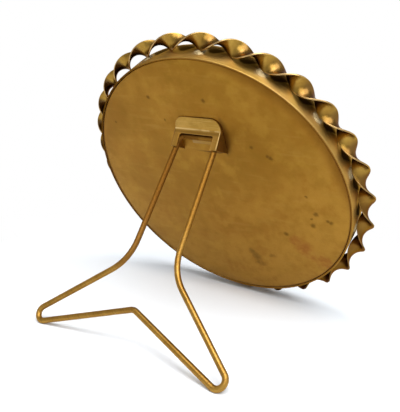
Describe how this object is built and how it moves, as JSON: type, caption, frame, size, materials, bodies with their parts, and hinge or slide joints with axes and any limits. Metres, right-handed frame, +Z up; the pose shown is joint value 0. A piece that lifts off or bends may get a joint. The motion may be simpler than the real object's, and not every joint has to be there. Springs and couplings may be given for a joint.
{
  "type": "round photo frame",
  "caption": "Round brass photo frame with a twisted ribbon border, glass, push-in back and a hinged bent-wire strut that leans it back on a table.",
  "frame": {"origin": "on the table, below the middle of the bounding box", "axes": "+X to the sitter's side seen from behind as left, +Y out of the back towards the strut's feet, +Z up; the picture faces -Y and up"},
  "size_m": [0.1396, 0.1068, 0.1203],
  "materials": {
    "rim_brass": "old satin brass with faint streaks",
    "ribbon_brass": "satin brass, brighter on the crests",
    "solder": "dull silvery solder",
    "glass": "clear flat glass",
    "photo_paper": "blank satin paper",
    "card": "plain grey-brown board",
    "plate_brass": "aged brass with small dark spots",
    "bracket_brass": "satin folded brass sheet",
    "wire_brass": "drawn brass wire with fine cross marks"
  },
  "bodies": {
    "frame": {"rim_band": "rim_brass", "twisted_ribbon": "ribbon_brass", "ribbon_solder_beads": "solder", "glass_pane": "glass", "photo_print": "photo_paper", "backing_card": "card"},
    "back": {"back_plate": "plate_brass", "strut_bracket": "bracket_brass"},
    "strut": {"wire_strut": "wire_brass"}
  },
  "joints": [
    {"name": "back_slide", "type": "slide", "parent": "frame", "child": "back", "axis": [0, 0.8563, -0.5165], "range_m": [0, 0.02]},
    {"name": "strut_hinge", "type": "hinge", "parent": "back", "child": "strut", "pos_m": [0, 0.00588, 0.07968], "axis": [-1, 0, 0], "range_deg": [0, 61]}
  ]
}
